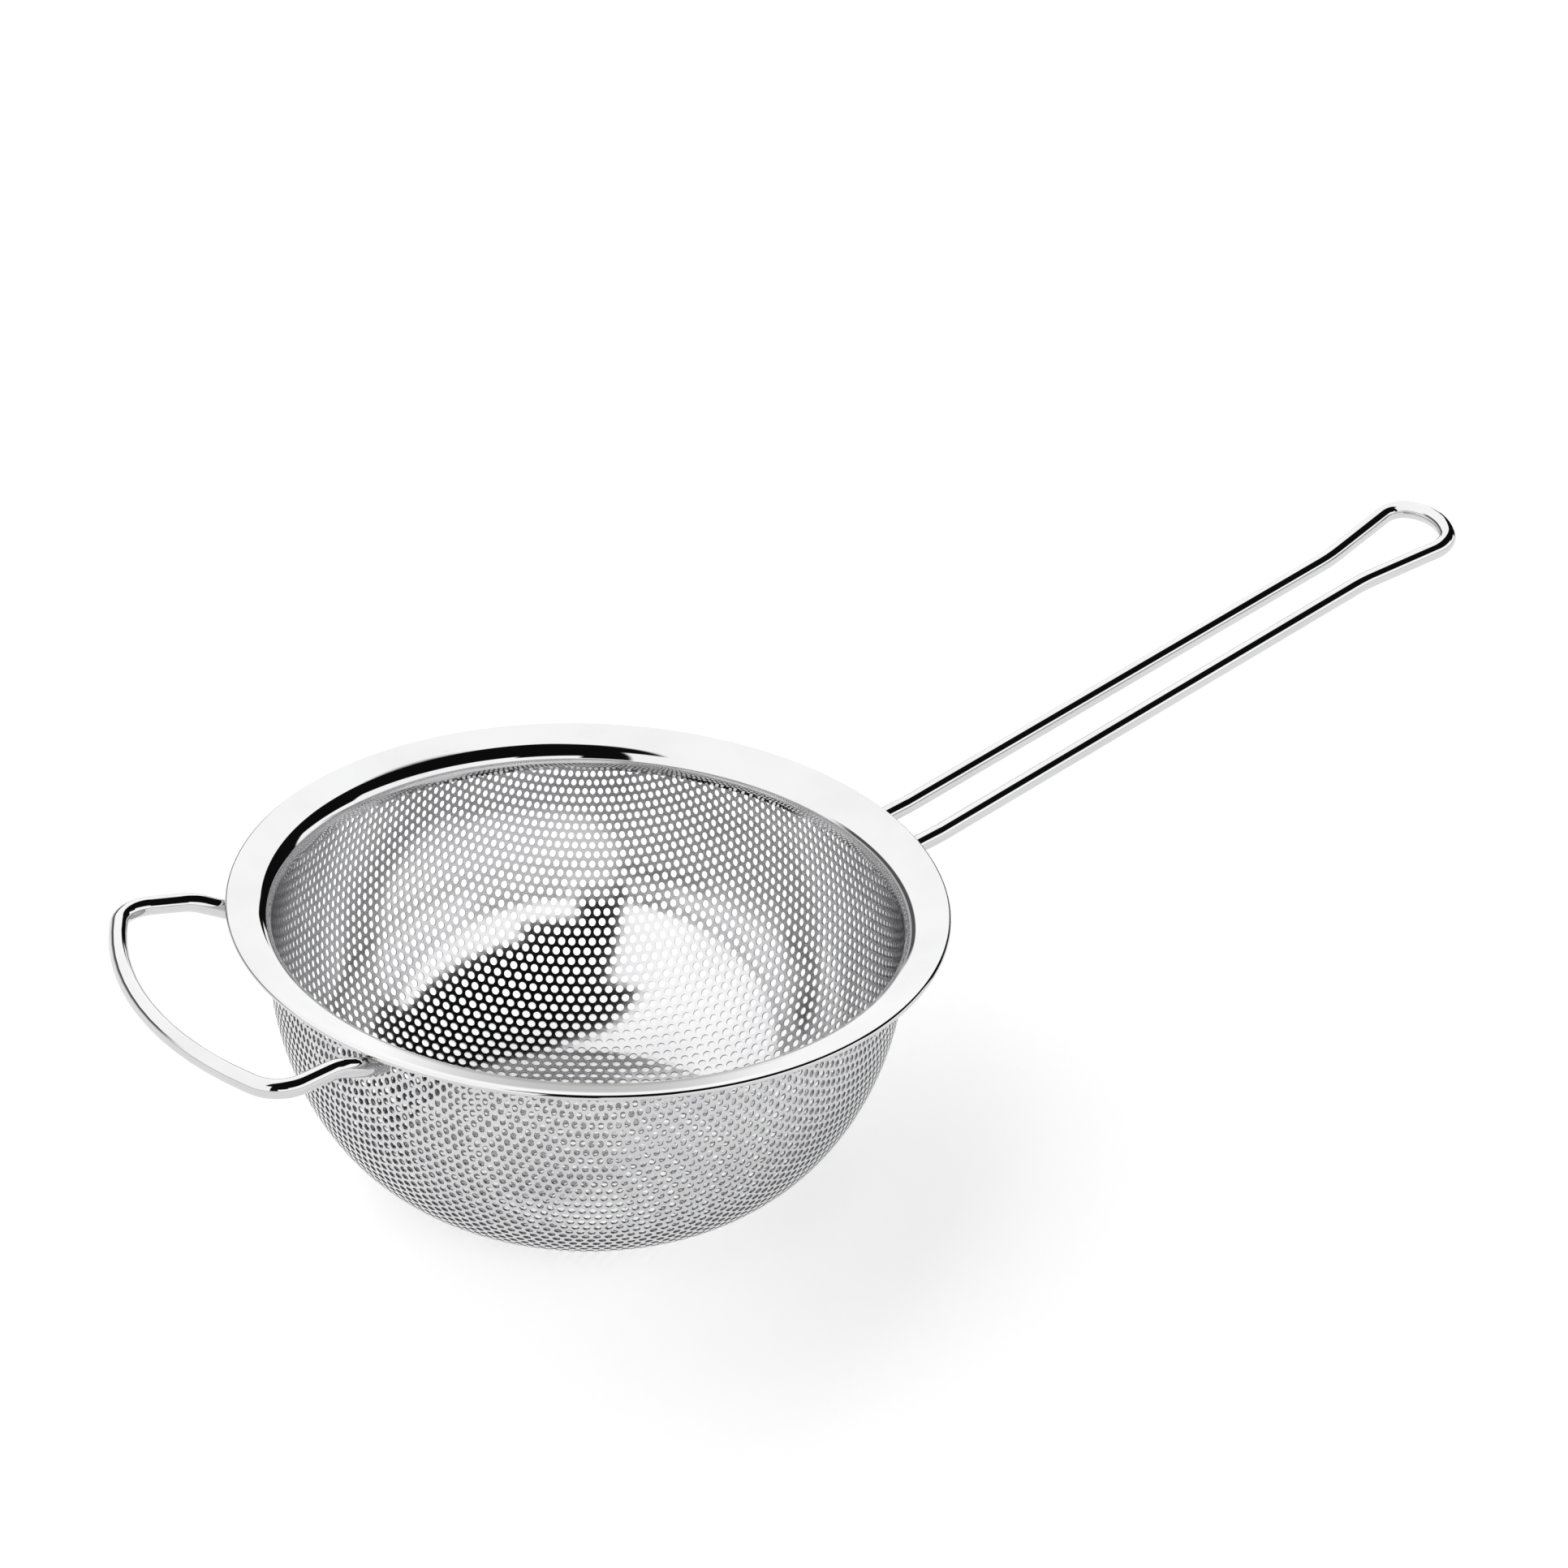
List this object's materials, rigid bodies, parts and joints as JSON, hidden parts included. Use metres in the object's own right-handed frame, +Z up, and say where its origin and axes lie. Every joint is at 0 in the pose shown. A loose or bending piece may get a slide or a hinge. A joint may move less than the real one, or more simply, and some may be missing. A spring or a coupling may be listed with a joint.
{
  "type": "perforated strainer",
  "caption": "Round steel strainer: perforated drawn bowl in a hemmed rim, a twin-wire handle with a hanging eye, and a wire loop opposite that rests on a cup or pot.",
  "frame": {"origin": "centre of the bowl's flat underside, which it stands on", "axes": "+Z up along the bowl's axis, +X from the bowl's axis towards the handle's tip, +Y across to the left of the handle"},
  "size_m": [0.3381, 0.16, 0.1158],
  "materials": {
    "perforated_sheet": "bright annealed stainless sheet, satin outside and polished inside",
    "polished_rim": "mirror-polished stainless sheet",
    "polished_wire": "electropolished stainless wire",
    "weld_metal": "matt weld metal with a faint straw tint"
  },
  "bodies": {
    "root": {"perforated_bowl": "perforated_sheet", "rim_ring": "polished_rim", "handle_wire": "polished_wire", "support_loop_wire": "polished_wire", "handle_weld_left": "weld_metal", "handle_weld_right": "weld_metal", "support_weld_left": "weld_metal", "support_weld_right": "weld_metal"}
  },
  "joints": []
}
